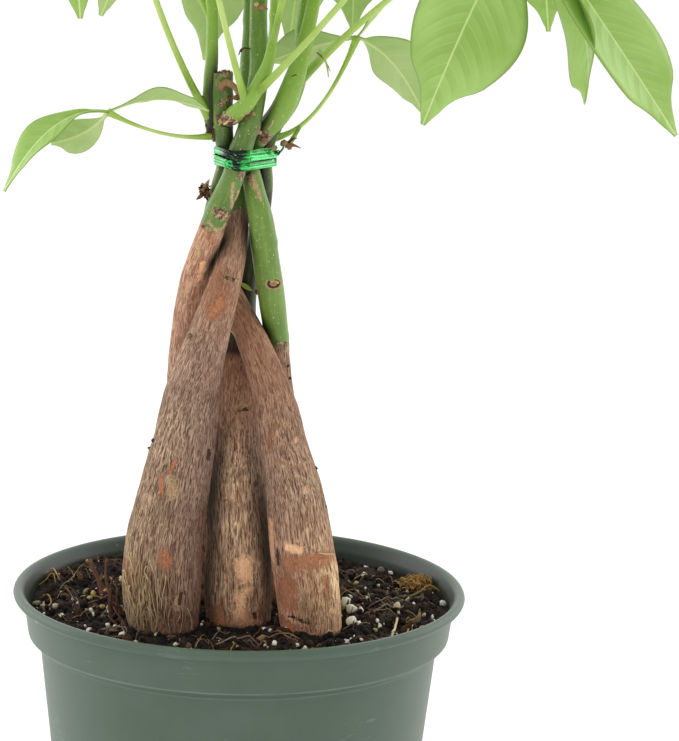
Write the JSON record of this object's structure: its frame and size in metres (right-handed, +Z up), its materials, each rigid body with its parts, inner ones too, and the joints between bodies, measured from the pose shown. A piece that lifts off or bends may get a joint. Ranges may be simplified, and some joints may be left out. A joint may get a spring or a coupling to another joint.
{
  "type": "potted money tree",
  "caption": "Braided-trunk money tree with palmate leaves, swollen woody bases and green stems tied above, standing in soil in a round plastic nursery pot.",
  "frame": {"origin": "centre of the pot's flat bottom, on the surface it stands on", "axes": "+Z up along the plant, -Y towards the front of the plant, +X to its right"},
  "size_m": [0.301, 0.2949, 0.5424],
  "materials": {
    "pot": "matt grey-green moulded polypropylene with faint scuffs",
    "soil": "dark fibrous potting mix with white perlite",
    "bark": "finely fissured grey-brown bark with smooth reddish patches, green above",
    "tie": "shiny green foil ribbon over wire",
    "leaf": "satin bright green leaf with pale veins"
  },
  "bodies": {
    "root": {"leaf_back_left": "leaf", "leaf_back_right": "leaf", "leaf_big_right": "leaf", "leaf_canopy_1": "leaf", "leaf_canopy_10": "leaf", "leaf_canopy_11": "leaf", "leaf_canopy_12": "leaf", "leaf_canopy_13": "leaf", "leaf_canopy_14": "leaf", "leaf_canopy_2": "leaf", "leaf_canopy_3": "leaf", "leaf_canopy_4": "leaf", "leaf_canopy_5": "leaf", "leaf_canopy_6": "leaf", "leaf_canopy_7": "leaf", "leaf_canopy_8": "leaf", "leaf_canopy_9": "leaf", "leaf_low_left": "leaf", "leaf_low_right": "leaf", "leaf_near_left": "leaf", "leaf_near_right": "leaf", "leaf_upper_left": "leaf", "pot": "pot", "soil": "soil", "trunk_back_left": "bark", "trunk_back_right": "bark", "trunk_front_left": "bark", "trunk_front_right": "bark", "trunk_middle": "bark", "twist_tie": "tie"}
  },
  "joints": []
}
